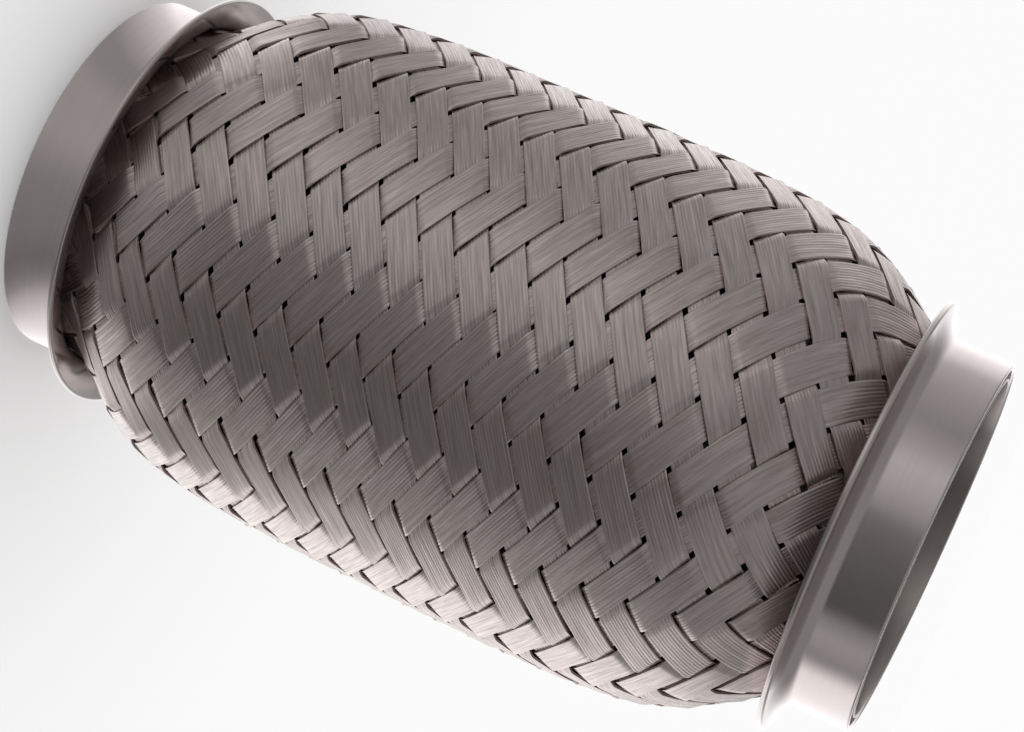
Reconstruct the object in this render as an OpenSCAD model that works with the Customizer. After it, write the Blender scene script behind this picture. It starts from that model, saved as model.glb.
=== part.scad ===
// Braided exhaust flex pipe, standing on one rim with its axis along +Z.
// The layers are clamped one over the other in each end, from the inside out:
// sleeve ring, liner, bellows, braid, collar.

/* [Overall] */
// Length over both rims
total_len = 120; // [100:1:180]
// Inside diameter of the sleeve rings, for the pipe that plugs in
bore_d = 45; // [38:0.5:65]
// How far the clamped layers stop short of the rim
end_setback = 0.8; // [0.4:0.1:2]

/* [End collars] */
// Sheet thickness of a collar
collar_wall = 0.8; // [0.6:0.1:1.5]
// Length of a collar's plain cylinder
collar_len = 7; // [6:0.5:14]
// Length that the flare adds to the cylinder
flare_len = 2.4; // [1.5:0.1:5]
// How far the lip stands out from the cylinder
flare_rise = 4.2; // [2:0.1:7]

/* [Sleeve rings] */
// Sheet thickness of a ring
ring_wall = 0.4; // [0.3:0.05:1]
// Length of a ring
ring_len = 10; // [7:0.5:16]

/* [Braid] */
// Bands laid each way round the pipe
bands = 24; // [16:2:28]
// Floats in one row along the pipe
floats = 21; // [14:1:22]
// Thickness of the woven wall along the barrel
braid_wall = 1.5; // [1.2:0.1:2.5]
// Thickness of the braid where the collars press it
tail_wall = 0.6; // [0.4:0.05:1]
// Depth of the pits between the bands
relief = 0.9; // [0.4:0.05:1]
// How far the barrel stands off the bellows
braid_slack = 3.5; // [2:0.1:8]
// Length over which the braid swells to its barrel
shoulder = 5.3; // [4:0.1:7]
// Distance from the collar's cylinder to the start of the swell
swell_gap = 1; // [0.5:0.1:3]
// How much the rows spread towards the ends
row_spread = 0.12; // [0:0.01:0.25]

/* [Bellows] */
// Wall thickness of the bellows
bellows_wall = 0.25; // [0.15:0.05:0.5]
// Height of a convolution above the plain tube
convolution_depth = 6.2; // [4:0.1:9]
// Distance from one convolution to the next
convolution_pitch = 5.6; // [4:0.1:8]
// Least gap between a crest and the braid
crest_gap = 0.4; // [0.3:0.1:1.5]

/* [Liner] */
// Thickness of the liner's plain end, clamped under the bellows
liner_end_wall = 0.25; // [0.2:0.05:0.5]
// Thickness of the strip-wound wall
liner_wall = 1.4; // [1:0.1:2.5]
// Gap between the strip-wound wall and the bellows
liner_gap = 0.25; // [0.2:0.05:0.8]
// Length of the shoulder that joins the end to the strip-wound wall
liner_shoulder = 2; // [1:0.1:4]
// Distance from one turn of the strip to the next
strip_pitch = 5; // [3.5:0.1:8]
// Width of the seam between two turns
seam_width = 1.2; // [0.6:0.1:2]
// Depth of the seam between two turns
seam_depth = 0.5; // [0.3:0.05:0.7]

/* [Hidden] */
$fn = 96;

// Outer radius of each layer in the clamped ends
ring_r = bore_d / 2 + ring_wall;
liner_r = ring_r + liner_end_wall;
tube_r = liner_r + bellows_wall;
tail_r = tube_r + tail_wall;
collar_r = tail_r + collar_wall;

// Radii along the barrel
crest_r = tube_r + convolution_depth;
belly_in_r = crest_r + braid_slack;
belly_r = belly_in_r + braid_wall;

mid_z = total_len / 2;
swell_z = collar_len + swell_gap;
arc_step = 30;
flare_step = 10;
overcut = 1;

// Share of the full barrel reached after a distance of x shoulder lengths
function swell_share(x) = 1 - (1 + x) * exp(-x);

// The same share at a height of the pipe, 0 in the collars and near 1 in the middle
function swell(z) = swell_share(max(0, min(z, total_len - z) - swell_z) / shoulder);

// Shoulder lengths that the braid needs to reach a share of the barrel
share_step = 0.05;
function reach(share, x = 0) = swell_share(x) >= share ? x : reach(share, x + share_step);

// The convolutions fill the length in which the braid clears their crests
crest_share = (convolution_depth + crest_gap) / (convolution_depth + braid_slack);
crest_z = swell_z + shoulder * reach(crest_share);
convolutions = 1 + floor((total_len - 2 * crest_z) / convolution_pitch);
wave_z = mid_z - convolutions * convolution_pitch / 2;

// The weave is a lattice of columns round the pipe and rows along it. A float is a
// parallelogram over two crossings, with its six corner points in the pits.
columns = 2 * bands;
column_deg = 360 / columns;
first_row_of = [-1, 0, -1, -2];
weave_setback = 2 * end_setback;
pit_onset = 8;
end_lift = 0.75;
float_half_len = 0.84;
float_half_width = 0.38;
float_tops = [
    [-float_half_len, -float_half_width, end_lift],
    [0, -float_half_width, 1],
    [float_half_len, -float_half_width, end_lift],
    [float_half_len, float_half_width, end_lift],
    [0, float_half_width, 1],
    [-float_half_len, float_half_width, end_lift],
];
float_corners = [[-1, -0.5], [0, -0.5], [1, -0.5], [1, 0.5], [0, 0.5], [-1, 0.5]];
inner_half = 8;
inner_rows = 2 * inner_half + 2;
inner_crowding = 1.6;

// Lattice place of a point of a float: u runs along the band, v across it, and the bands
// of odd columns lean the other way
function lean(column) = column % 2 == 0 ? 1 : -1;
function float_place(column, k, u, v) = [
    2 * column + 0.5 + u + v,
    2 * k + lean(column) * (0.5 + u - v),
];

function row_z(row) =
    let (u = (row - floats + 1) / (floats + 1))
    mid_z + (mid_z - weave_setback) * (u - row_spread * sin(180 * u) / PI);

function around(r, turn_deg, z) = [r * cos(turn_deg), r * sin(turn_deg), z];

// Point of the woven face, with lift 1 on top of a float and 0 in a pit. The pits take the
// same part of the wall all along, and close up where the collars press the braid.
function woven(place, lift) =
    let (z = row_z(place[1]))
    let (share = swell(z))
    let (wall = tail_wall + share * (braid_wall - tail_wall))
    let (pit = relief * wall / braid_wall * min(1, pit_onset * share))
    around(tail_r + share * (belly_r - tail_r) - pit * (1 - lift), place[0] * column_deg, z);

// Rows of the inner face lie closest where the braid starts to swell
function inner_z(m) =
    m == 0 ? end_setback :
    m > inner_half + 1 ? total_len - inner_z(inner_rows - m) :
    swell_z + (mid_z - swell_z) * pow((m - 1) / inner_half, inner_crowding);
function inner_r(z) =
    (tube_r + (belly_in_r - tube_r) * swell(z)) / cos(column_deg / 2);

// Numbers of the points in the braid's list
pit_count = columns * (floats + 1);
top_count = bands * floats * len(float_tops);
function pit_id(t, row) =
    let (column = (t + columns) % columns)
    column * (floats + 1) + (row - first_row_of[column % 4]) / 2;
function top_id(column, k, i) = pit_count + (column * floats + k) * len(float_tops) + i;
function ring_id(ring, t) = pit_count + top_count + ring * columns + t % columns;
low_ring = 0;
high_ring = 1;
first_inner = 2;

braid_points = concat(
    [for (t = [0 : columns - 1], k = [0 : floats]) woven([t, first_row_of[t % 4] + 2 * k], 0)],
    [for (column = [0 : bands - 1], k = [0 : floats - 1], p = float_tops)
        woven(float_place(column, k, p[0], p[1]), p[2])],
    [for (z = [end_setback, total_len - end_setback], t = [0 : columns - 1])
        around(tail_r, t * column_deg, z)],
    [for (m = [0 : inner_rows], t = [0 : columns - 1])
        around(inner_r(inner_z(m)), t * column_deg, inner_z(m))]
);

// A four-sided face as two triangles, turned over where the lean asks for it
function two(a, b, c, d) = [[a, b, c], [a, c, d]];
function facing(side, faces) = side > 0 ? faces : [for (f = faces) [f[2], f[1], f[0]]];

function float_faces(column, k) =
    let (side = lean(column))
    let (pit = [for (p = float_corners)
        let (place = float_place(column, k, p[0], p[1])) pit_id(place[0], place[1])])
    let (top = [for (i = [0 : 5]) top_id(column, k, i)])
    let (edges = [for (i = [0 : 5]) let (j = (i + 1) % 6) each two(pit[i], pit[j], top[j], top[i])])
    let (cover = concat(two(top[0], top[1], top[4], top[5]), two(top[1], top[2], top[3], top[4])))
    facing(side, concat(edges, cover));

// Faces that join the woven rows to the flat end rings, and the rings to the inside
function low_end_faces(t) = concat(
    two(pit_id(t, first_row_of[t % 4]), pit_id(t + 1, first_row_of[(t + 1) % 4]),
        ring_id(low_ring, t + 1), ring_id(low_ring, t)),
    two(ring_id(low_ring, t), ring_id(low_ring, t + 1),
        ring_id(first_inner, t + 1), ring_id(first_inner, t))
);
function high_end_faces(t) = concat(
    two(ring_id(high_ring, t), ring_id(high_ring, t + 1),
        pit_id(t + 1, first_row_of[(t + 1) % 4] + 2 * floats), pit_id(t, first_row_of[t % 4] + 2 * floats)),
    two(ring_id(first_inner + inner_rows, t), ring_id(first_inner + inner_rows, t + 1),
        ring_id(high_ring, t + 1), ring_id(high_ring, t))
);
function inner_faces(m, t) =
    two(ring_id(first_inner + m, t), ring_id(first_inner + m, t + 1),
        ring_id(first_inner + m + 1, t + 1), ring_id(first_inner + m + 1, t));

braid_faces = concat(
    [for (column = [0 : bands - 1], k = [0 : floats - 1]) each float_faces(column, k)],
    [for (t = [0 : columns - 1]) each low_end_faces(t)],
    [for (t = [0 : columns - 1]) each high_end_faces(t)],
    [for (m = [0 : inner_rows - 1], t = [0 : columns - 1]) each inner_faces(m, t)]
);

// One face of the collar's flare, a quarter ellipse, set back by part of the sheet
function flare(back) = [
    for (a = [0 : flare_step : 90])
        let (rise = flare_rise * sin(a))
        let (run = flare_len * cos(a))
        let (slant = norm([rise, run]))
        [
            collar_r + flare_rise * (1 - cos(a)) - back * run / slant,
            collar_len + flare_len * sin(a) + back * rise / slant,
        ]
];

function backwards(list) = [for (i = [len(list) - 1 : -1 : 0]) list[i]];

// One face of the convolutions, half a wall outside or inside the middle of the sheet
function wave(offset) =
    let (bend = convolution_pitch / 4)
    let (root_bend = bend - offset)
    let (crest_bend = bend + offset)
    let (root_r = tube_r - bellows_wall / 2 + bend)
    let (top_r = crest_r - bellows_wall / 2 - bend)
    [
        for (i = [0 : convolutions - 1])
            let (z = wave_z + i * convolution_pitch)
            each concat(
                [for (a = [0 : arc_step : 90]) [root_r - root_bend * cos(a), z + root_bend * sin(a)]],
                [for (a = [0 : arc_step : 180])
                    [top_r + crest_bend * sin(a), z + 2 * bend - crest_bend * cos(a)]],
                [for (a = [90 : -arc_step : arc_step])
                    [root_r - root_bend * cos(a), z + 4 * bend - root_bend * sin(a)]]
            ),
        [root_r - root_bend, wave_z + convolutions * convolution_pitch],
    ];

module at_top() {
    translate([0, 0, total_len])
        mirror([0, 0, 1])
            children();
}

module end_collar() {
    rotate_extrude()
        polygon(concat([[tail_r, 0], [collar_r, 0]], flare(0), backwards(flare(collar_wall))));
}

module sleeve_ring() {
    difference() {
        cylinder(r = ring_r, h = ring_len);
        translate([0, 0, -overcut])
            cylinder(r = bore_d / 2, h = ring_len + 2 * overcut);
    }
}

module lower_end_collar() {
    color("#b3aca8")
        end_collar();
}

module upper_end_collar() {
    color("#b3aca8")
        at_top()
            end_collar();
}

module outer_braid() {
    color("#8d8682")
        polyhedron(points = braid_points, faces = braid_faces, convexity = 6);
}

module bellows() {
    low = [[liner_r, end_setback], [tube_r, end_setback]];
    high = [[tube_r, total_len - end_setback], [liner_r, total_len - end_setback]];
    half = bellows_wall / 2;
    color("#a8a29e")
        rotate_extrude()
            polygon(concat(low, wave(half), high, backwards(wave(-half))));
}

module inner_liner() {
    body_r = liner_r - liner_gap;
    body_in_r = body_r - liner_wall;
    body_len = total_len - 2 * ring_len;
    shoulder_len = ring_len + liner_shoulder;
    seams = floor((body_len - 2 * liner_shoulder) / strip_pitch) - 1;
    first_seam_z = mid_z - seams * strip_pitch / 2;
    color("#97918d")
        rotate_extrude()
            difference() {
                union() {
                    translate([body_in_r, ring_len])
                        square([liner_wall, body_len]);
                    for (z = [end_setback, total_len - shoulder_len])
                        translate([ring_r, z])
                            square([liner_end_wall, shoulder_len - end_setback]);
                    for (z = [ring_len, total_len - shoulder_len])
                        translate([body_in_r, z])
                            square([liner_r - body_in_r, liner_shoulder]);
                }
                for (i = [0 : seams])
                    translate([body_r - seam_depth, first_seam_z + i * strip_pitch - seam_width / 2])
                        square([seam_depth + overcut, seam_width]);
                for (i = [0 : seams - 1])
                    translate([body_in_r - overcut, first_seam_z + (i + 0.5) * strip_pitch - seam_width / 2])
                        square([seam_depth + overcut, seam_width]);
            }
}

module lower_sleeve_ring() {
    color("#9c9692")
        sleeve_ring();
}

module upper_sleeve_ring() {
    color("#9c9692")
        at_top()
            sleeve_ring();
}

lower_end_collar();
upper_end_collar();
outer_braid();
bellows();
inner_liner();
lower_sleeve_ring();
upper_sleeve_ring();
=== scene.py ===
# %% [markdown]
# # A braided exhaust flex pipe
#
# The part is a short flexible coupling for an exhaust: a barrel of woven steel bands over a thin
# bellows, with a pressed collar at each end. The CAD model gives every size, so this script loads it
# as a fixed frame and builds the finer look around it, in metres, in the same place.

# %% Load the frame
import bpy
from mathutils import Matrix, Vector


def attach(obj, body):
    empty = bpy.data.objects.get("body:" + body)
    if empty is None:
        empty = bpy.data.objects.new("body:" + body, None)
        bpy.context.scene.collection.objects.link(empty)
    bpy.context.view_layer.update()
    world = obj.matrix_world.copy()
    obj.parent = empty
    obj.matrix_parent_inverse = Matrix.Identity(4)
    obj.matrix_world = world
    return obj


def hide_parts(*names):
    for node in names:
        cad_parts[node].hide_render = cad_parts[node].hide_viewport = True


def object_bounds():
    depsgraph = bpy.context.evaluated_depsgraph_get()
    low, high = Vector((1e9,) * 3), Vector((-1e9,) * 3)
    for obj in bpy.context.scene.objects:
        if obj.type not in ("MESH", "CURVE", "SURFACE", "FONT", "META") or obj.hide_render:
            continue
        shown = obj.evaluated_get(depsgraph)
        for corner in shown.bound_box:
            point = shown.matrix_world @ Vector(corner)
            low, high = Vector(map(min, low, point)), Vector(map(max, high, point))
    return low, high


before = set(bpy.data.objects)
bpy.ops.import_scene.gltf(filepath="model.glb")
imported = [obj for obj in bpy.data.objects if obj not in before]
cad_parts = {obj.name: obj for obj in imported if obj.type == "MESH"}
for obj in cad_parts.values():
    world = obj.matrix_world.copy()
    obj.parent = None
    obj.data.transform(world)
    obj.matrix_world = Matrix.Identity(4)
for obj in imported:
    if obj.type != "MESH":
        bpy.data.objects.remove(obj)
cad_box = [list(corner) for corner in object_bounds()]

import math

import bpy
import numpy as np
from mathutils import Quaternion, Vector

MM = 0.001


def in_mm(box):
    return [[round(x / MM, 2) for x in corner] for corner in box]


print("CAD nodes:", sorted(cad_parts))
print("CAD box in mm:", in_mm(cad_box))

# %% [markdown]
# ## The camera
#
# The pipe stands on one end, as it would on a bench, but the picture was taken from its side with the
# camera turned, so that the axis runs down to the right. One way is to tilt the pipe. Here the pipe
# stays where the CAD puts it and the camera is rolled, because the same part is seen from other sides
# too. The place comes from fitting the two rims and the lips to ellipses.

# %% Camera
camera_turn = math.radians(-106)                    # round the axis, from +X
camera_roll = math.radians(114.57)
camera_out, camera_up = 298.1 * MM, 136.3 * MM      # from the axis and above the floor
aim_height, aim_aside = 61.76 * MM, 1.03 * MM       # of the point in the middle of the picture
FOCAL_LEN, SENSOR_W = 83.68, 36                     # in mm, as the lens settings want them
NEAREST, FARTHEST = 0.01, 20                        # that the camera can see, in metres

outward = Vector((math.cos(camera_turn), math.sin(camera_turn), 0))
sideways = Vector((-outward.y, outward.x, 0))
camera_place = outward * camera_out + Vector((0, 0, camera_up))
aim = sideways * aim_aside + Vector((0, 0, aim_height))

lens = bpy.data.cameras.new("camera")
lens.lens, lens.sensor_width = FOCAL_LEN, SENSOR_W
lens.clip_start, lens.clip_end = NEAREST, FARTHEST
camera = bpy.data.objects.new("camera", lens)
camera.location = camera_place
camera.rotation_mode = "QUATERNION"
look = (aim - camera_place).to_track_quat("-Z", "Y")
camera.rotation_quaternion = look @ Quaternion((0, 0, 1), camera_roll)
bpy.context.scene.collection.objects.link(camera)
bpy.context.scene.camera = camera
print("camera to axis:", round(camera_out / MM), "mm, roll", round(math.degrees(camera_roll)), "degrees")

# %% [markdown]
# ## Helpers for materials
#
# Colours are written as sRGB hex, as a paint program shows them, and the shader needs them linear.
# Every node is added by one small function that takes the node's settings and its links. A Mix node
# has a set of sockets for each kind of value, all with the same names, so those go by number.

# %% Colour and node helpers
SHARE, COLOUR_A, COLOUR_B, COLOUR_OUT = 0, 6, 7, 2     # sockets of a Mix node for colours
VALUE_A, VALUE_B, VALUE_OUT = 2, 3, 0                  # and for plain values


def linear(hex_colour):
    parts = [int(hex_colour[i:i + 2], 16) / 255 for i in (1, 3, 5)]
    return [c / 12.92 if c <= 0.04045 else ((c + 0.055) / 1.055) ** 2.4 for c in parts] + [1]


def grey(level):
    return (level, level, level, 1)


def add_node(tree, kind, settings=None, links=None):
    """A new node. A setting or link is named for its socket, or numbered where names repeat."""
    made = tree.nodes.new(kind)
    for name, value in (settings or {}).items():
        if isinstance(name, int) or name in made.inputs:
            made.inputs[name].default_value = value
        else:
            setattr(made, name, value)
    for name, source in (links or {}).items():
        tree.links.new(source, made.inputs[name])
    return made


def new_material(name):
    made = bpy.data.materials.new(name)
    made.use_nodes = True
    made.node_tree.nodes.clear()
    return made, made.node_tree


print("steel grey in linear light:", [round(c, 3) for c in linear("#a59b96")])

# %% [markdown]
# ## Drawn stainless wire
#
# The bands are bundles of fine stainless wire, pulled through dies and laid side by side. Drawing
# leaves streaks along each wire, which spread a highlight across it, and no two wires are quite the
# same grey. The bands carry a map with millimetres along the wire and millimetres across the band, so
# noise stretched along the wire gives the streaks. The roundness of the wires is left to the mesh.

# %% Drawn stainless wire
WIRE_D = 0.38                        # one wire, in mm
STREAK_LEN = 7.0                     # a drawing streak, in mm
NOISE_LOW, NOISE_HIGH = 0.3, 0.7     # nearly all of a noise pattern lies between these
ACROSS_WIRE = 0.25                   # a quarter turn from the wire's direction

wire_steel, tree = new_material("stainless_steel_drawn_wire")
chart = add_node(tree, "ShaderNodeUVMap", {"uv_map": "chart"})
along = add_node(tree, "ShaderNodeMapping", {"Scale": (1 / STREAK_LEN, 1 / WIRE_D, 1)},
                 {"Vector": chart.outputs["UV"]})
streaks = add_node(tree, "ShaderNodeTexNoise", {"Scale": 1.0, "Detail": 3.0, "Roughness": 0.6},
                   {"Vector": along.outputs["Vector"]})
rubbed = add_node(tree, "ShaderNodeMapRange", {"From Min": NOISE_LOW, "From Max": NOISE_HIGH},
                  {"Value": streaks.outputs["Fac"]})
# Two warm greys: the drawn skin, and the brighter metal where it is rubbed.
shade = add_node(tree, "ShaderNodeMix",
                 {"data_type": "RGBA", COLOUR_A: linear("#ac9f9b"), COLOUR_B: linear("#d3c7c5")},
                 {SHARE: rubbed.outputs["Result"]})
gloss = add_node(tree, "ShaderNodeMapRange", {"To Min": 0.37, "To Max": 0.28},
                 {"Value": rubbed.outputs["Result"]})
lay = add_node(tree, "ShaderNodeTangent", {"direction_type": "UV_MAP", "uv_map": "chart"})
steel = add_node(tree, "ShaderNodeBsdfPrincipled",
                 {"Metallic": 1.0, "Anisotropic": 0.7, "Anisotropic Rotation": ACROSS_WIRE},
                 {"Base Color": shade.outputs[COLOUR_OUT], "Roughness": gloss.outputs["Result"],
                  "Tangent": lay.outputs["Tangent"]})
add_node(tree, "ShaderNodeOutputMaterial", links={"Surface": steel.outputs["BSDF"]})
print("wire:", WIRE_D, "mm, streaks", STREAK_LEN, "mm long")

# %% [markdown]
# ## Stainless sheet
#
# All the other pieces are cold-rolled stainless sheet. Rolling and pressing leave a smooth satin skin
# that reflects almost as a mirror, with a faint grain round the axis where the sheet slid in the tool
# and soft smudges from handling. One function makes the finish, and each piece gets its own colour
# and gloss: bright outside; duller inside the flare, and a little darker there as painted shade of the
# gap between lip and braid; and darkest on the formed sheet and strip.

# %% Stainless sheet
GRAIN_LEN, GRAIN_WIDTH = 16.0, 0.5      # press marks, in mm, drawn wider than real ones so that they show
GRAIN_DEPTH, GRAIN_RELIEF = 0.01, 0.05  # depth of the marks in mm, and the share of it that shows
SMUDGE, SMUDGE_SHARE = 9.0, 0.7         # a handling smudge in mm, and its share in the colour


def sheet_finish(name, dark, light, shiny, dull):
    """Satin sheet between two colours and two roughness values."""
    made, tree = new_material(name)
    place = add_node(tree, "ShaderNodeTexCoord")
    per_len, per_width = 1 / (GRAIN_LEN * MM), 1 / (GRAIN_WIDTH * MM)
    along = add_node(tree, "ShaderNodeMapping", {"Scale": (per_len, per_len, per_width)},
                     {"Vector": place.outputs["Object"]})
    grain = add_node(tree, "ShaderNodeTexNoise", {"Scale": 1.0, "Detail": 2.0},
                     {"Vector": along.outputs["Vector"]})
    smudges = add_node(tree, "ShaderNodeTexNoise", {"Scale": 1 / (SMUDGE * MM), "Detail": 3.0},
                       {"Vector": place.outputs["Object"]})
    mixed = add_node(tree, "ShaderNodeMix", {SHARE: SMUDGE_SHARE},
                     {VALUE_A: grain.outputs["Fac"], VALUE_B: smudges.outputs["Fac"]})
    shade = add_node(tree, "ShaderNodeMix",
                     {"data_type": "RGBA", COLOUR_A: linear(dark), COLOUR_B: linear(light)},
                     {SHARE: mixed.outputs[VALUE_OUT]})
    gloss = add_node(tree, "ShaderNodeMapRange",
                     {"From Min": NOISE_LOW, "From Max": NOISE_HIGH, "To Min": shiny, "To Max": dull},
                     {"Value": smudges.outputs["Fac"]})
    ripple = add_node(tree, "ShaderNodeBump", {"Strength": GRAIN_RELIEF, "Distance": GRAIN_DEPTH * MM},
                      {"Height": grain.outputs["Fac"]})
    steel = add_node(tree, "ShaderNodeBsdfPrincipled", {"Metallic": 1.0},
                     {"Base Color": shade.outputs[COLOUR_OUT], "Roughness": gloss.outputs["Result"],
                      "Normal": ripple.outputs["Normal"]})
    add_node(tree, "ShaderNodeOutputMaterial", links={"Surface": steel.outputs["BSDF"]})
    print(name, "from", dark, "to", light)
    return made


# Bright satin outside, so that the collars show the room as soft stripes.
pressed_steel = sheet_finish("stainless_steel_pressed_satin", "#bbb2b0", "#d0c7c6", 0.12, 0.20)
# Inside the flare no tool has rubbed the skin, so the braid shows in it only softly. Its colour is a
# little darker than outside: painted shade for the gap between the lip and the braid.
dull_steel_painted_shade = sheet_finish("stainless_steel_pressed_dull_painted_shade", "#b4acaa", "#cbc4c2", 0.18, 0.28)
# The rings have a plain rolled skin, a soft grey sheen.
rolled_steel = sheet_finish("stainless_steel_rolled", "#9d9592", "#b6aeab", 0.22, 0.34)
# Formed sheet and strip are a little darker than the rest of the sheet.
formed_steel = sheet_finish("stainless_steel_formed_strip", "#8b847f", "#a8a19c", 0.28, 0.42)

# %% [markdown]
# ## The form of the sleeve
#
# The woven sleeve is narrow where a collar clamps it, swells over a short shoulder and is then nearly
# straight. The same curve as in the CAD model gives the radius at any height. The weave is counted in
# columns round the pipe and rows along it, and the rows lie a little closer in the middle.

# %% Sleeve form
TOTAL_LEN = round(cad_box[1][2] / MM, 2)
MID_Z = TOTAL_LEN / 2
TAIL_R, BELLY_R = 24.0, 34.6            # inside a collar, and where the swelling ends
SWELL_Z, SHOULDER = 8.0, 5.3            # where the swelling starts, and how slowly it comes
BANDS, FLOATS = 24, 21                  # bands that climb one way, and floats along the sleeve
ROW_SPREAD, WEAVE_SETBACK = 0.12, 1.6   # how much closer the middle rows lie, and the end rows' setback
COLUMN_TURN = math.pi / BANDS


def swell_depth(z):
    return np.maximum(0, np.minimum(z, TOTAL_LEN - z) - SWELL_Z) / SHOULDER


def sleeve_radius(z):
    depth = swell_depth(z)
    return TAIL_R + (BELLY_R - TAIL_R) * (1 - (1 + depth) * np.exp(-depth))


def sleeve_slope(z):
    depth = swell_depth(z)
    return np.where(z < MID_Z, 1, -1) * (BELLY_R - TAIL_R) / SHOULDER * depth * np.exp(-depth)


def end_share(row):
    """0 in the middle of the sleeve, -1 at its lower end and 1 at its upper one."""
    return (row - FLOATS + 1) / (FLOATS + 1)


def row_height(row):
    share = end_share(row)
    return MID_Z + (MID_Z - WEAVE_SETBACK) * (share - ROW_SPREAD * np.sin(math.pi * share) / math.pi)


print("sleeve radius at the collar, on the shoulder and in the middle:",
      [round(float(sleeve_radius(z)), 2) for z in (SWELL_Z, SWELL_Z + SHOULDER, MID_Z)])

# %% [markdown]
# ## How the weave lies
#
# The sleeve is pulled over the bellows and pressed into its collars, so the rows never lie quite true.
# Here they have slid along the pipe by half a row, lean by about three degrees, are a little wider
# apart towards the ends and twist a little from end to end. A lattice without that looks drawn by a
# computer, so every place on it is shifted by the same smooth rule.

# %% Slide, lean and twist
SLIDE, STRETCH = 0.50, 0.29          # in rows, the stretch at the ends
ROW_LEAN, LEAN_FADE = 0.72, 0.55     # in rows in the middle, and the share by which it fades upwards
LEAN_FROM = camera_turn              # the lean goes from low to high past this side
TWIST = math.radians(-2.0)           # from the middle to the upper end


def slid_row(row, column):
    share = end_share(row)
    leant = ROW_LEAN * (1 - LEAN_FADE * share) * np.sin(column * COLUMN_TURN - LEAN_FROM)
    return row + SLIDE + STRETCH * share + leant


def weave_height(row, column):
    return row_height(slid_row(row, column))


def weave_turn(row, column):
    return column * COLUMN_TURN + TWIST * end_share(row)


middle_row = FLOATS - 1
row_step = float(row_height(middle_row + 1) - row_height(middle_row))
print("rows in the middle are", round(row_step, 2), "mm apart and lean by",
      round(math.degrees(math.atan(ROW_LEAN * row_step / BELLY_R)), 1), "degrees")

# %% [markdown]
# ## The woven bands
#
# Twenty-four bands climb one way and twenty-four the other, and each goes over two and under two of
# those it crosses. A bump map could draw that, but its outline would be smooth, so each band is a real
# ribbon. Its cross-section is a row of round wires. Its rings lie along the bands that it crosses, so
# that it dips exactly at their edges.

# %% Cross-section of a band
WIRES = 10
BAND_W = WIRES * WIRE_D
BAND_DEPTH = 0.9 * WIRE_D       # from the top of the wires to the flat underside
GROOVE = 0.12 * WIRE_D          # how deep the groove between two wires is
CREST_DROP = 0.1 * GROOVE       # how little the top of a wire drops beside its middle

# One wire, from its left groove on: the place as a share of its width, and the height in mm.
wire_shape = [(0.0, -GROOVE), (0.28, -CREST_DROP), (0.72, -CREST_DROP)]
top_line = [((k + place) * WIRE_D - BAND_W / 2, y) for k in range(WIRES) for place, y in wire_shape]
top_line.append((BAND_W / 2, -GROOVE))
section = np.array(top_line + [(BAND_W / 2, -BAND_DEPTH), (-BAND_W / 2, -BAND_DEPTH)])
print("band:", WIRES, "wires,", round(BAND_W, 2), "mm wide,", len(section), "points round it")

# %% Dips along a band
DIP = 0.22      # half the length of a dip, as a share of the distance between crossings


def dip(crossings):
    """1 where the band lies on top and -1 below, by the crossings from the middle of a float."""
    return -np.sin(math.pi / 2 * np.clip((np.abs(crossings) - 1) / DIP, -1, 1))


bend_steps = np.array([0.045, 0.13, DIP])                        # on both sides of a dip's middle
float_steps = np.array([(1 + DIP) / 2, 1.0, (3 - DIP) / 2])      # between two dips
ring_steps = np.concatenate([-bend_steps[::-1], bend_steps, float_steps])
print("rings on each float:", len(ring_steps))

# %% Where the bands are cut
END_SETBACK = 0.8                   # of the bands' ends from the collars' rims, in mm
ROW_MARGIN, ROW_STEPS = 4, 1000     # rows past both ends that are tried, and how finely
CUT_PASSES = 8                      # after these the cut no longer moves

rows = np.linspace(-ROW_MARGIN, 2 * middle_row + ROW_MARGIN, ROW_STEPS)
first_row = float(np.interp(END_SETBACK, row_height(rows), rows))
last_row = float(np.interp(TOTAL_LEN - END_SETBACK, row_height(rows), rows))


def cut_row(own, lean, edge_row):
    """Row at which a band reaches the height that edge_row has on a lattice that hasn't slid."""
    row = edge_row + 0 * own
    for _ in range(CUT_PASSES):
        row += edge_row - slid_row(row, 2 * own + lean * row)
    return row


print("bands run from row", round(first_row, 2), "to row", round(last_row, 2))

# %% [markdown]
# ## Uneven wires and flat floats
#
# A float is the stretch of a band that lies on top. Tension pulls it straight, so it is flatter than
# the barrel below it and shines as one small facet. No two floats or wires lie quite the same, and
# that makes woven wire glitter. Noise in a bump map could tilt the shading, but not the shape. So each
# float and wire gets its own small roll here, from seeded random numbers, which come out the same in
# every run.

# %% What no two floats share
FLOAT_ROLL, WIRE_ROLL = 0.022, 0.05      # spread of the slopes of floats and of single wires
FLOAT_LIFT = 0.02                        # spread of the floats' heights, in mm
WANDER = 0.05                            # how far a band strays to one side, in mm
SLOWEST, FASTEST = 0.5, 0.9              # bounds of how quickly it sways, in radians for a crossing
LAST_START = 6                           # bound of where in that sway a band starts, in radians
SEED = 7

rng = np.random.default_rng(SEED)
wire_no = np.clip(np.floor(section[:, 0] / WIRE_D + WIRES / 2), 0, WIRES - 1).astype(int)
wire_middle = (wire_no + 0.5) * WIRE_D - BAND_W / 2


def float_by_float(crossing, middles, spread):
    """A random value for each float, blended from one to the next."""
    return np.interp(crossing, middles, rng.normal(0, spread, len(middles)))


def unevenness(rings, middles, crossing, across):
    """What the points of a band rise by, and how far they stray to one side, in mm."""
    roll = float_by_float(crossing, middles, FLOAT_ROLL)
    lift = float_by_float(crossing, middles, FLOAT_LIFT)
    aside = WANDER * np.sin(crossing * rng.uniform(SLOWEST, FASTEST) + rng.uniform(0, LAST_START))
    wire_roll = np.stack([float_by_float(rings, middles, WIRE_ROLL) for _ in range(WIRES)], 1)[:, wire_no]
    return roll * across + lift + wire_roll * (across - wire_middle), aside


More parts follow.
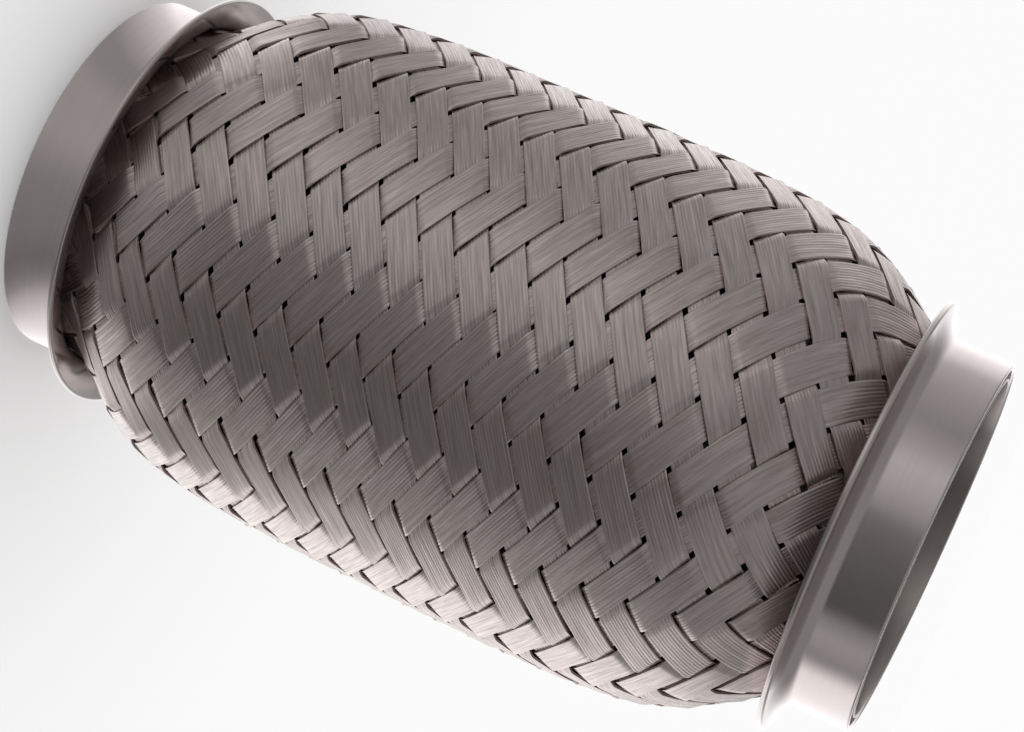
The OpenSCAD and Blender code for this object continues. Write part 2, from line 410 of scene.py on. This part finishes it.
print("a band strays by", WANDER, "mm, and the edge of a float lies up to about",
      round(FLOAT_ROLL * BAND_W, 2), "mm high or low")

# %% Rings and width of a band
FLOAT_MIDDLE, REPEAT = 0.5, 4           # the weave repeats after four crossings
CLEAR_END = 0.6                         # no ring comes nearer to a cut end, in crossings
COVER, MOST_SPREAD = 0.86, 1.15         # how far the wires spread to cover a wide lattice
HALF_REPEATS = 60                       # counted both ways, more than a band has
halves = REPEAT // 2 * np.arange(-HALF_REPEATS, HALF_REPEATS + 1)


def band_rings(lean, index, edges):
    """Crossings at which a band has rings of points, and the middles of its stretches over and under."""
    low, high = [index + lean * cut_row(index, lean, edge) for edge in edges]
    middles = FLOAT_MIDDLE + halves - index
    rings = (middles[:, None] + 1 + ring_steps).ravel()
    rings = rings[(rings > low + CLEAR_END) & (rings < high - CLEAR_END)]
    return np.concatenate([[low], rings, [high]]), middles


def band_spacing(row, column):
    """Distance between two neighbouring bands, in mm, from the size of a column and a row here."""
    z = weave_height(row, column)
    column_mm = COLUMN_TURN * sleeve_radius(z)
    row_mm = (weave_height(row + 0.5, column) - weave_height(row - 0.5, column)) \
        * np.sqrt(1 + sleeve_slope(z) ** 2)
    return 2 * column_mm * row_mm / np.hypot(column_mm, row_mm)


print("bands are", round(float(band_spacing(middle_row, 0)), 2), "mm apart in the middle")

# %% Height of a band
FLATNESS = 0.65                    # of a float: 0 is as round as the sleeve, 1 is quite flat
TAIL_SQUEEZE = 0.45                # how flat the bands are pressed in the collar
CLAMP_Z, CLAMP_RUN = 6.0, 4.0      # where the collar's squeeze starts to ease, and over what length


def collar_squeeze(z):
    free = np.clip((np.minimum(z, TOTAL_LEN - z) - CLAMP_Z) / CLAMP_RUN, 0, 1)
    return TAIL_SQUEEZE + (1 - TAIL_SQUEEZE) * free * free * (3 - 2 * free)


def float_shape(lean, index, own, crossing, z):
    """How far on top the band lies, from 0 to 1, and the height that makes a float flat, in mm."""
    crest = index + crossing - FLOAT_MIDDLE - (0 if lean > 0 else REPEAT / 2)
    crest = (crest + REPEAT / 2) % REPEAT - REPEAT / 2
    from_middle = COLUMN_TURN * (crest + own - index)
    facet = FLATNESS * sleeve_radius(z) * (from_middle ** 2 - COLUMN_TURN ** 2 / 3) / 2
    return (1 + dip(crest)) / 2, facet


print("height left in the collar:", round(float(collar_squeeze(0)), 2), "of a band's own")

# %% One band
LAYER = 0.2                # half the height between a band on top and one below
SINK = 0.04                # keeps the highest wire within the sleeve's form, in mm
CROSSING_LEN = 5.1         # along a band, in mm
CHART_STEP = (61, 7)       # gives each band its own streaks


def band_mesh(lean, index):
    """Points and map of one band: lean is 1 for a band that climbs with the turn and -1 for the other."""
    edges = (first_row, last_row) if lean > 0 else (last_row, first_row)
    rings, middles = band_rings(lean, index, edges)
    crossing, across = np.meshgrid(rings, section[:, 0], indexing="ij")
    uneven, aside = unevenness(rings, middles, crossing, across)

    # The spacing turns millimetres across the band into steps on the lattice.
    spacing = band_spacing(lean * (crossing - index), index + crossing)
    spread = np.clip(COVER * spacing / BAND_W, 1, MOST_SPREAD)
    own = index + (across * spread + aside) / spacing

    # Both ends are cut square to the pipe's axis.
    for end, edge in zip((0, -1), edges):
        crossing[end] = own[end] + lean * cut_row(own[end], lean, edge)

    row, column = lean * (crossing - own), own + crossing
    turn = weave_turn(row, column)
    z = weave_height(row, column)
    on_top, facet = float_shape(lean, index, own, crossing, z)
    height = section[:, 1] - 2 * LAYER * (1 - on_top) + on_top * facet + uneven - SINK
    height = collar_squeeze(z) * height
    slope = sleeve_slope(z)
    tilt = np.sqrt(1 + slope ** 2)
    r = sleeve_radius(z) + height / tilt
    points = np.stack([r * np.cos(turn), r * np.sin(turn), z - height * slope / tilt], -1)
    chart = np.stack([crossing * CROSSING_LEN + CHART_STEP[0] * index, across + CHART_STEP[1] * index], -1)
    return points * MM, chart


sample, _ = band_mesh(1, 0)
print("one band:", sample.shape[0], "rings of", sample.shape[1], "points")

# %% [markdown]
# ## From bands to pieces
#
# A mesh of all the bands would be heavy to handle, so the bands are gathered into four pieces, two
# for each way of climbing. Faces that meet at more than sixty degrees are shaded sharp along their
# edge, which keeps the sides of the bands and the seams of the liner crisp.

# %% Piece helpers
SHARP_ANGLE = math.radians(60)


def new_piece(name, points, faces, chart, material, slot, *nodes):
    """A mesh piece that rides with the part and stands for CAD nodes; its slot argument is not used."""
    mesh = bpy.data.meshes.new(name)
    mesh.from_pydata(points, [], faces)
    layer = mesh.uv_layers.new(name="chart")
    corners = np.zeros(len(mesh.loops), np.int32)
    mesh.loops.foreach_get("vertex_index", corners)
    layer.data.foreach_set("uv", np.asarray(chart, np.float32)[corners].ravel())
    mesh.shade_smooth()
    mesh.set_sharp_from_angle(angle=SHARP_ANGLE)
    mesh.materials.append(material)
    mesh.validate()
    piece = bpy.data.objects.new(name, mesh)
    bpy.context.scene.collection.objects.link(piece)
    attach(piece, "root")
    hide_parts(*nodes)
    print(name, "has", sum(len(p.vertices) - 2 for p in mesh.polygons), "triangles")
    return piece


def tube_faces(rings, around, start, flip):
    """Quads between rings of points, and a cap on each end."""
    faces = []
    for i in range(rings - 1):
        for j in range(around):
            k = (j + 1) % around
            a, b = start + i * around, start + (i + 1) * around
            faces.append((a + j, b + j, b + k, a + k))
    faces.append(tuple(start + j for j in range(around)))
    faces.append(tuple(start + (rings - 1) * around + j for j in reversed(range(around))))
    return [tuple(reversed(f)) for f in faces] if flip else faces


# %% Braid pieces
for lean, way in ((1, "rising"), (-1, "falling")):
    for half in (0, 1):
        points, faces, chart = [], [], []
        for index in range(half, BANDS, 2):
            grid, marks = band_mesh(lean, index)
            rings, around = grid.shape[:2]
            faces += tube_faces(rings, around, len(points), lean > 0)
            points += grid.reshape(-1, 3).tolist()
            chart += marks.reshape(-1, 2).tolist()
        new_piece(f"braid_bands_{way}_{half + 1}", points, faces, chart, wire_steel, "braid_wire",
                  "outer_braid")

# %% [markdown]
# ## The end collars
#
# Each collar is one stamping: a plain sleeve whose inner edge flares out to a thin lip. It is a shape
# of revolution, so a profile is drawn once, with small round edges that catch the light, and turned
# round the axis. The upper collar is the same profile seen from the other end.

# %% Turning a profile
SEGMENTS = 192
ENDS = (("lower", False), ("upper", True))     # the name of each end, and whether it is the top one


def arc(r, z, radius, start, stop, steps=5):
    """Points of a round edge about (r, z), from start to stop in degrees."""
    turns = [math.radians(start + (stop - start) * i / steps) for i in range(steps + 1)]
    return [(r + radius * math.cos(a), z + radius * math.sin(a)) for a in turns]


def turned(name, profile, top, material, slot, *nodes):
    """A closed profile of (radius, height) in mm turned round the axis, or mirrored to the top end."""
    rings = [(r, TOTAL_LEN - z if top else z) for r, z in profile]
    run = np.concatenate([[0], np.cumsum([math.dist(p, q) for p, q in zip(rings, rings[1:])])])
    points, faces, chart = [], [], []
    for i in range(SEGMENTS):
        a = 2 * math.pi * i / SEGMENTS
        points += [(r * math.cos(a) * MM, r * math.sin(a) * MM, z * MM) for r, z in rings]
        chart += [(a * TAIL_R, along) for along in run]
    n = len(rings)
    for i in range(SEGMENTS):
        k = (i + 1) % SEGMENTS
        for j in range(n):
            m = (j + 1) % n
            face = (i * n + j, i * n + m, k * n + m, k * n + j)
            faces.append(face if top else face[::-1])
    return new_piece(name, points, faces, chart, material, slot, *nodes)


print("round pieces have", SEGMENTS, "segments")

# %% Profile of a collar
COLLAR_R, COLLAR_LEN, WALL = 24.8, 7.0, 0.8     # of the plain sleeve, in mm
FLARE_RISE, FLARE_LEN = 4.2, 2.4                # of the flare, outwards and along the axis
EDGE, LIP_EDGE = 0.3, 0.36                      # radius of the round edges


def flare_line(back, steps=14):
    """The flare's outer line, a quarter of an ellipse, set back by part of the wall."""
    line = []
    for i in range(steps + 1):
        a = math.pi / 2 * i / steps
        rise, run = FLARE_RISE * math.sin(a), FLARE_LEN * math.cos(a)
        slant = math.hypot(rise, run)
        line.append((COLLAR_R + FLARE_RISE * (1 - math.cos(a)) - back * run / slant,
                     COLLAR_LEN + FLARE_LEN * math.sin(a) + back * rise / slant))
    return line


collar_in_r = COLLAR_R - WALL
lip_r, lip_z = COLLAR_R + FLARE_RISE, COLLAR_LEN + FLARE_LEN
collar_profile = (
    arc(collar_in_r + EDGE, EDGE, EDGE, 180, 270) + arc(COLLAR_R - EDGE, EDGE, EDGE, 270, 360)
    + flare_line(0)[:-1]
    + arc(lip_r - LIP_EDGE, lip_z + LIP_EDGE, LIP_EDGE, 270, 360)
    + arc(lip_r - LIP_EDGE, lip_z + WALL - LIP_EDGE, LIP_EDGE, 0, 90)
    + flare_line(WALL)[-2::-1]
)
print("collar:", len(collar_profile), "points in its profile, lip", lip_r, "mm from the axis")

# %% Collars
# Faces turned to the braid take the dull finish, whose darker colour is painted shade of the gap.
DULL_SHADE_FROM = 0.25      # a face that is turned to the braid by more than this share is dull

for end, top in ENDS:
    collar = turned(f"{end}_collar", collar_profile, top, pressed_steel, "collar_steel", f"{end}_end_collar")
    collar.data.materials.append(dull_steel_painted_shade)
    inward = -1 if top else 1
    inside = [face for face in collar.data.polygons if face.normal.z * inward > DULL_SHADE_FROM]
    for face in inside:
        face.material_index = 1
    print(len(inside), "faces look at the braid and are dull")

# %% [markdown]
# ## The sleeve rings
#
# A thin ring is pressed into each end, where the next pipe plugs in. A plain tube would do for its
# form, but a sheet edge is never quite sharp, so its edges are rounded like those of the collar.

# %% Sleeve rings
RING_IN_R, RING_R, RING_LEN = 22.5, 22.9, 10.0
RING_EDGE = 0.12

ring_profile = (
    arc(RING_IN_R + RING_EDGE, RING_EDGE, RING_EDGE, 180, 270)
    + arc(RING_R - RING_EDGE, RING_EDGE, RING_EDGE, 270, 360)
    + arc(RING_R - RING_EDGE, RING_LEN - RING_EDGE, RING_EDGE, 0, 90)
    + arc(RING_IN_R + RING_EDGE, RING_LEN - RING_EDGE, RING_EDGE, 90, 180)
)
for end, top in ENDS:
    turned(f"{end}_ring", ring_profile, top, rolled_steel, "ring_steel", f"{end}_sleeve_ring")

# %% [markdown]
# ## The liner
#
# A hose wound from one folded strip lines the pipe and keeps the hot gas off the bellows. The CAD model
# stands for its seams with plain rings. Here the folded section of the strip is swept along a helix,
# one turn beside the next, and a plain cuff at each end hides where the strip begins and stops.

# %% Liner strip
STRIP_PITCH, HAIRLINE = 5.0, 0.03              # from turn to turn, and what is left between two turns
SEAM_W, SEAM_D, FOLD = 1.2, 0.5, 0.15          # of the seam's groove, and the bevel of the folded edge
LINER_IN_R, LINER_R, LINER_Z = 21.5, 22.9, RING_LEN
TURN_STEPS = 96

strip_w, land, middle = STRIP_PITCH - HAIRLINE, STRIP_PITCH - SEAM_W, STRIP_PITCH / 2
strip_section = [
    (LINER_IN_R + SEAM_D, 0), (LINER_IN_R + FOLD, 0), (LINER_IN_R, FOLD), (LINER_IN_R, land - FOLD),
    (LINER_IN_R + FOLD, land), (LINER_IN_R + SEAM_D, land), (LINER_IN_R + SEAM_D, strip_w),
    (LINER_R, strip_w), (LINER_R, middle + SEAM_W / 2), (LINER_R - SEAM_D, middle + SEAM_W / 2),
    (LINER_R - SEAM_D, middle - SEAM_W / 2), (LINER_R, middle - SEAM_W / 2), (LINER_R, 0),
][::-1]
turns = round((TOTAL_LEN - 2 * LINER_Z) / STRIP_PITCH) - 1
points, chart = [], []
for i in range(turns * TURN_STEPS + 1):
    a = 2 * math.pi * i / TURN_STEPS
    start_z = LINER_Z + STRIP_PITCH * i / TURN_STEPS
    points += [(r * math.cos(a) * MM, r * math.sin(a) * MM, (start_z + z) * MM) for r, z in strip_section]
    chart += [(a * LINER_IN_R, z) for r, z in strip_section]
faces = tube_faces(turns * TURN_STEPS + 1, len(strip_section), 0, False)
new_piece("liner_strip", points, faces, chart, formed_steel, "liner_strip", "inner_liner")

# %% Liner cuffs
END_TUBE_R, SHOULDER_LEN = 23.15, 2.0          # of the part in the bellows' end tube, past the ring's end
CUFF_IN, CUFF_OUT = 0.1, 0.05                  # how far the cuff covers the strip, inside and outside

cuff_in_r, cuff_r = LINER_IN_R - CUFF_IN, LINER_R + CUFF_OUT
shoulder_z, cuff_z = LINER_Z + SHOULDER_LEN, LINER_Z + STRIP_PITCH
cuff_profile = [
    (LINER_R, END_SETBACK), (END_TUBE_R, END_SETBACK), (END_TUBE_R, shoulder_z), (cuff_r, shoulder_z),
    (cuff_r, cuff_z), (cuff_in_r + FOLD, cuff_z), (cuff_in_r, cuff_z - FOLD), (cuff_in_r, LINER_Z + FOLD),
    (cuff_in_r + FOLD, LINER_Z), (LINER_R, LINER_Z),
]
for end, top in ENDS:
    turned(f"{end}_liner_cuff", cuff_profile, top, formed_steel, "liner_strip", "inner_liner")

# %% [markdown]
# ## The bellows
#
# The bellows hides behind the braid, where only a glint shows through the pinholes. It could be turned
# from a profile too, but its CAD shape is right as it is, so it only gets its finish.

# %% Bellows finish
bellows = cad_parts["bellows"]
bellows.data.materials.clear()
bellows.data.materials.append(formed_steel)
print("bellows keeps its CAD shape, with", len(bellows.data.polygons), "faces")

# %% [markdown]
# ## What stands round the pipe
#
# Steel has no colour of its own to speak of: it shows what stands round it. The pipe stands on a white
# floor in front of a white backdrop, with a soft light card on one side and the dark room behind the
# camera. One way is to build all of that from cards and lamps. Here ramps of grey levels round the
# horizon do it, for the world and for what the floor shows in the metal, so that both agree.

# %% Ring of light round the horizon
HALF_TURN, FULL_TURN = 180, 360
# Degrees round the pipe, counted from the camera's side, and the grey level seen there: on the floor
# close to the pipe's foot, and on the floor and the walls further away.
near_light = [
    (-180, 0.80), (-145, 0.95), (-105, 1.40), (-90, 1.45), (-80, 1.40), (-72, 1.00), (-62, 0.77),
    (-52, 0.55), (-43, 0.38), (-34, 0.39), (-24, 0.48), (-5, 0.48), (10, 0.33), (30, 0.28), (41, 0.23),
    (48, 0.28), (54, 0.40), (60, 0.68), (72, 1.08), (90, 1.48), (115, 1.30), (150, 0.60), (180, 0.80),
]
far_light = [
    (-180, 1.30), (-150, 1.50), (-128, 1.05), (-118, 0.68), (-100, 0.52), (-85, 0.43), (-66, 0.35),
    (-52, 0.47), (-38, 0.68), (-24, 0.57), (-12, 0.42), (-4, 0.25), (6, 0.20), (22, 0.16), (36, 0.13),
    (54, 0.11), (62, 0.33), (74, 0.48), (92, 0.33), (106, 1.32), (150, 1.60), (180, 1.30),
]


def ring_of_light(tree, direction, levels):
    """Grey level for a direction or a place on the floor by its turn round the axis, and its height."""
    facing = add_node(tree, "ShaderNodeVectorRotate", {"rotation_type": "Z_AXIS", "Angle": -camera_turn},
                      {"Vector": direction})
    parts = add_node(tree, "ShaderNodeSeparateXYZ", links={"Vector": facing.outputs["Vector"]})
    turn = add_node(tree, "ShaderNodeMath", {"operation": "ARCTAN2"},
                    {0: parts.outputs["Y"], 1: parts.outputs["X"]})
    share = add_node(tree, "ShaderNodeMapRange", {"From Min": -math.pi, "From Max": math.pi},
                     {"Value": turn.outputs["Value"]})
    ramp = add_node(tree, "ShaderNodeValToRGB", links={"Fac": share.outputs["Result"]})
    stops = ramp.color_ramp.elements
    places = [(degrees + HALF_TURN) / FULL_TURN for degrees, level in levels]
    for place in places[1:-1]:
        stops.new(place)
    for stop, place, (degrees, level) in zip(stops, places, levels):
        stop.position, stop.color = place, grey(level)
    return ramp.outputs["Color"], parts.outputs["Z"]


print("light round the pipe: from", min(level for _, level in far_light), "to",
      max(level for _, level in far_light))

# %% [markdown]
# ## The room
#
# The room is only a world colour, because walls of mesh would need lamps of their own. To the camera
# it is plain white, and so is the soft light that it sheds on the floor. The metal, by way of Is Glossy
# Ray, sees the ring of grey levels instead, which turns into an even ceiling higher up.

# %% World
CEILING, WHITE = 0.32, 0.98
WALL_FOOT, WALL_TOP = 0.05, 0.5    # heights, as a share of straight up, between which walls turn to ceiling

world = bpy.data.worlds.new("studio")
world.use_nodes = True
tree = world.node_tree
tree.nodes.clear()
place = add_node(tree, "ShaderNodeTexCoord")
ring, rise = ring_of_light(tree, place.outputs["Generated"], far_light)
up_share = add_node(tree, "ShaderNodeMapRange",
                    {"interpolation_type": "SMOOTHSTEP", "From Min": WALL_FOOT, "From Max": WALL_TOP},
                    {"Value": rise})
walls = add_node(tree, "ShaderNodeMix", {"data_type": "RGBA", COLOUR_B: grey(CEILING)},
                 {SHARE: up_share.outputs["Result"], COLOUR_A: ring})
rays = add_node(tree, "ShaderNodeLightPath")
seen = add_node(tree, "ShaderNodeMix", {"data_type": "RGBA", COLOUR_A: grey(WHITE)},
                {SHARE: rays.outputs["Is Glossy Ray"], COLOUR_B: walls.outputs[COLOUR_OUT]})
sky = add_node(tree, "ShaderNodeBackground", links={"Color": seen.outputs[COLOUR_OUT]})
add_node(tree, "ShaderNodeOutputWorld", links={"Surface": sky.outputs["Background"]})
bpy.context.scene.world = world
bpy.context.scene.view_settings.view_transform = "Standard"
print("backdrop white:", WHITE, "and ceiling in the metal:", CEILING)

# %% [markdown]
# ## The floor
#
# The floor is a sheet of white paint that takes the pipe's soft shadow. A plain one would show in the
# metal as an even white, which hides the form. So to the metal it shows the ring of grey levels, close
# to the foot one set of them and further out the other, and to the camera it stays white paint.

# %% Floor
FLOOR_HALF, FLOOR_GAP = 3.0, 0.05 * MM     # half its side, and how far it lies below the rim
NEAR_R, FAR_R = 35 * MM, 80 * MM           # the close light turns into the far one between these

floor_mesh = bpy.data.meshes.new("floor")
floor_mesh.from_pydata([(-FLOOR_HALF, -FLOOR_HALF, 0), (FLOOR_HALF, -FLOOR_HALF, 0),
                        (FLOOR_HALF, FLOOR_HALF, 0), (-FLOOR_HALF, FLOOR_HALF, 0)], [], [(0, 1, 2, 3)])
floor = bpy.data.objects.new("floor", floor_mesh)
floor.location.z = -FLOOR_GAP
bpy.context.scene.collection.objects.link(floor)
print("floor:", 2 * FLOOR_HALF, "m square")

# %% Floor paint
# Matt white paint, which gives the eye nothing but the shadow.
floor_paint, tree = new_material("white_studio_floor")
paint = add_node(tree, "ShaderNodeBsdfDiffuse", {"Color": linear("#fefefe")})
place = add_node(tree, "ShaderNodeNewGeometry")
near_ring, _ = ring_of_light(tree, place.outputs["Position"], near_light)
far_ring, _ = ring_of_light(tree, place.outputs["Position"], far_light)
away = add_node(tree, "ShaderNodeVectorMath", {"operation": "LENGTH"}, {0: place.outputs["Position"]})
far_share = add_node(tree, "ShaderNodeMapRange",
                     {"interpolation_type": "SMOOTHSTEP", "From Min": NEAR_R, "From Max": FAR_R},
                     {"Value": away.outputs["Value"]})
ring = add_node(tree, "ShaderNodeMix", {"data_type": "RGBA"},
                {SHARE: far_share.outputs["Result"], COLOUR_A: near_ring, COLOUR_B: far_ring})
shown = add_node(tree, "ShaderNodeEmission", links={"Color": ring.outputs[COLOUR_OUT]})
rays = add_node(tree, "ShaderNodeLightPath")
both = add_node(tree, "ShaderNodeMixShader",
                links={0: rays.outputs["Is Glossy Ray"], 1: paint.outputs["BSDF"],
                       2: shown.outputs["Emission"]})
add_node(tree, "ShaderNodeOutputMaterial", links={"Surface": both.outputs["Shader"]})
floor_mesh.materials.append(floor_paint)
print("close light up to", round(NEAR_R / MM), "mm from the axis, far light from", round(FAR_R / MM), "mm")
